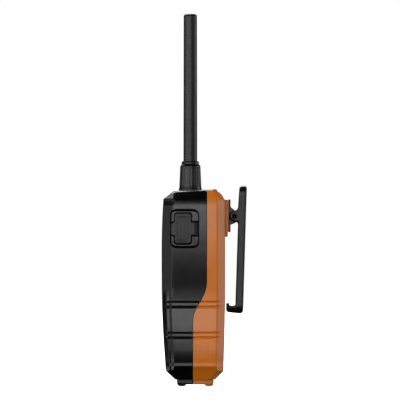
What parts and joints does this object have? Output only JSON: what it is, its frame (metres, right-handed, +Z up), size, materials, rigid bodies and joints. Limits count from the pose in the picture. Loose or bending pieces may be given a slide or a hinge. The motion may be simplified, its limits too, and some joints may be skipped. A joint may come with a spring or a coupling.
{
  "type": "portable radio",
  "caption": "Handheld two-way radio with a display, keys, speaker, side buttons, screw-on whip antenna, jack cover and a sprung belt clip.",
  "frame": {"origin": "centre of the overall box in plan, on the surface the two foot ribs stand on", "axes": "+X towards the jack-cover side, +Y out of the back where the belt clip is, +Z up along the antenna"},
  "size_m": [0.0604, 0.0562, 0.2458],
  "materials": {
    "black_plastic": "fine moulded grain",
    "orange_plastic": "fine moulded grain",
    "seal_rubber": "smooth moulded rubber",
    "button_rubber": "soft-touch rubber",
    "antenna_rubber": "satin rubber over-moulding",
    "lens_plastic": "clear hard-coated window over a dark mask",
    "display_panel": "grey-green liquid crystal panel",
    "speaker_plastic": "black basket with a paper cone",
    "mesh_cloth": "fine acoustic cloth",
    "switch_plastic": "small tact switch",
    "board_laminate": "green solder mask",
    "cell_wrap": "blue shrink wrap",
    "bright_steel": "zinc plated",
    "black_steel": "blackened",
    "contact_brass": "bright"
  },
  "bodies": {
    "housing": {"front_housing": "black_plastic", "clip_bracket": "black_plastic", "jack_block": "black_plastic", "battery_tray": "black_plastic", "rear_housing": "orange_plastic", "battery_door": "orange_plastic", "housing_gasket": "seal_rubber", "door_gasket": "seal_rubber", "keypad_mat": "seal_rubber", "jack_cover_anchor": "seal_rubber", "display_lens": "lens_plastic", "display_module": "display_panel", "speaker": "speaker_plastic", "speaker_mesh": "mesh_cloth", "ptt_switch": "switch_plastic", "side_key_switch": "switch_plastic", "main_board": "board_laminate", "battery_pack": "cell_wrap", "rf_shield": "bright_steel", "microphone": "bright_steel", "door_screw_1": "bright_steel", "door_screw_2": "bright_steel", "door_screw_3": "bright_steel", "door_screw_4": "bright_steel", "board_screw_1": "bright_steel", "board_screw_2": "bright_steel", "board_screw_3": "bright_steel", "board_screw_4": "bright_steel", "housing_screw_1": "bright_steel", "housing_screw_2": "bright_steel", "housing_screw_3": "bright_steel", "housing_screw_4": "bright_steel", "clip_pin": "black_steel", "bracket_screw_1": "black_steel", "bracket_screw_2": "black_steel", "battery_contact_plus": "contact_brass", "battery_contact_minus": "contact_brass", "antenna_socket": "contact_brass"},
    "clip": {"clip_arm": "black_plastic", "clip_spring": "bright_steel"},
    "jack_flap": {"jack_cover": "seal_rubber"},
    "antenna": {"antenna_whip": "antenna_rubber", "antenna_boot": "antenna_rubber", "antenna_stud": "contact_brass"},
    "ptt": {"ptt_button": "button_rubber"},
    "side_button": {"side_key": "button_rubber"},
    "power_key": {"key_power": "button_rubber"},
    "call_key": {"key_call": "button_rubber"},
    "up_key": {"key_up": "button_rubber"},
    "menu_key": {"key_menu": "button_rubber"},
    "scan_key": {"key_scan": "button_rubber"},
    "down_key": {"key_down": "button_rubber"}
  },
  "joints": [
    {"name": "clip_hinge", "type": "hinge", "parent": "housing", "child": "clip", "pos_m": [0, 0.0199, 0.112], "axis": [1, 0, 0], "range_deg": [0, 20], "stiffness_Nm_per_rad": 0.8, "springref_deg": -20.05},
    {"name": "jack_flap_hinge", "type": "hinge", "parent": "housing", "child": "jack_flap", "pos_m": [0.0301, -0.00445, 0.1037], "axis": [0, 0, 1], "range_deg": [0, 110], "stiffness_Nm_per_rad": 0.003},
    {"name": "antenna_thread", "type": "hinge", "parent": "housing", "child": "antenna", "pos_m": [-0.013, -0.0092, 0.1293], "axis": [0, 0, 1], "range_deg": [0, 1080]},
    {"name": "ptt_press", "type": "slide", "parent": "housing", "child": "ptt", "axis": [1, 0, 0], "range_m": [0, 0.001], "stiffness_N_per_m": 2500, "springref_m": -0.0004},
    {"name": "side_key_press", "type": "slide", "parent": "housing", "child": "side_button", "axis": [1, 0, 0], "range_m": [0, 0.001], "stiffness_N_per_m": 2000, "springref_m": -0.0004},
    {"name": "key_power_press", "type": "slide", "parent": "housing", "child": "power_key", "axis": [0, 1, 0], "range_m": [0, 0.0008], "stiffness_N_per_m": 1500, "springref_m": -0.0004},
    {"name": "key_call_press", "type": "slide", "parent": "housing", "child": "call_key", "axis": [0, 1, 0], "range_m": [0, 0.0008], "stiffness_N_per_m": 1500, "springref_m": -0.0004},
    {"name": "key_up_press", "type": "slide", "parent": "housing", "child": "up_key", "axis": [0, 1, 0], "range_m": [0, 0.0008], "stiffness_N_per_m": 1500, "springref_m": -0.0004},
    {"name": "key_menu_press", "type": "slide", "parent": "housing", "child": "menu_key", "axis": [0, 1, 0], "range_m": [0, 0.0008], "stiffness_N_per_m": 1500, "springref_m": -0.0004},
    {"name": "key_scan_press", "type": "slide", "parent": "housing", "child": "scan_key", "axis": [0, 1, 0], "range_m": [0, 0.0008], "stiffness_N_per_m": 1500, "springref_m": -0.0004},
    {"name": "key_down_press", "type": "slide", "parent": "housing", "child": "down_key", "axis": [0, 1, 0], "range_m": [0, 0.0008], "stiffness_N_per_m": 1500, "springref_m": -0.0004}
  ]
}
